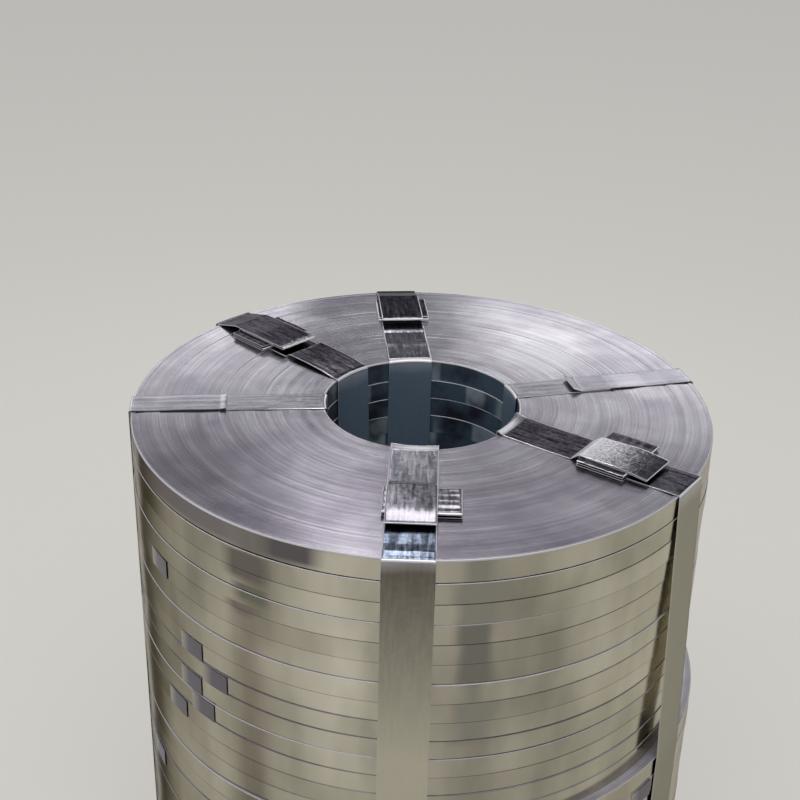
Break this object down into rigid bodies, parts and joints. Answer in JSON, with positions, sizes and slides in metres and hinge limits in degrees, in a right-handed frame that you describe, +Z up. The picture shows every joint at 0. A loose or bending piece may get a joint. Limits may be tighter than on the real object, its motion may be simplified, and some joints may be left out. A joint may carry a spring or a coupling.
{
  "type": "strapped stack of slit steel coils",
  "caption": "Round stack of narrow galvanised steel strip coils lying eye to the sky, bound through the bore by six flat steel straps, four of them with folded locks on top.",
  "frame": {"origin": "on the floor, on the axis of the stack, midway between the axes of its upper and lower group, which are 9.5 mm apart", "axes": "+Z up along the axis of the stack, -Y towards the strap that faces the camera in the picture, +X to the right in that view"},
  "size_m": [0.9042, 0.904, 0.8807],
  "materials": {
    "galvanised_strip": "semi-bright, fine turn lines on the ends",
    "strap_steel": "galvanised strip with bright bends"
  },
  "bodies": {
    "root": {"coil_01": "galvanised_strip", "coil_02": "galvanised_strip", "coil_03": "galvanised_strip", "coil_04": "galvanised_strip", "coil_05": "galvanised_strip", "coil_06": "galvanised_strip", "coil_07": "galvanised_strip", "coil_08": "galvanised_strip", "coil_09": "galvanised_strip", "coil_10": "galvanised_strip", "coil_11": "galvanised_strip", "coil_12": "galvanised_strip", "coil_13": "galvanised_strip", "coil_14": "galvanised_strip", "coil_15": "galvanised_strip", "coil_16": "galvanised_strip", "coil_17": "galvanised_strip", "coil_18": "galvanised_strip", "coil_19": "galvanised_strip", "coil_20": "galvanised_strip", "coil_21": "galvanised_strip", "coil_22": "galvanised_strip", "coil_23": "galvanised_strip", "coil_24": "galvanised_strip", "coil_25": "galvanised_strip", "coil_26": "galvanised_strip", "coil_27": "galvanised_strip", "strap_front": "strap_steel", "strap_right_front": "strap_steel", "strap_right_back": "strap_steel", "strap_back": "strap_steel", "strap_left_back": "strap_steel", "strap_left": "strap_steel", "strap_lock_front": "strap_steel", "strap_lock_right_front": "strap_steel", "strap_lock_back": "strap_steel", "strap_lock_left_back": "strap_steel"}
  },
  "joints": []
}
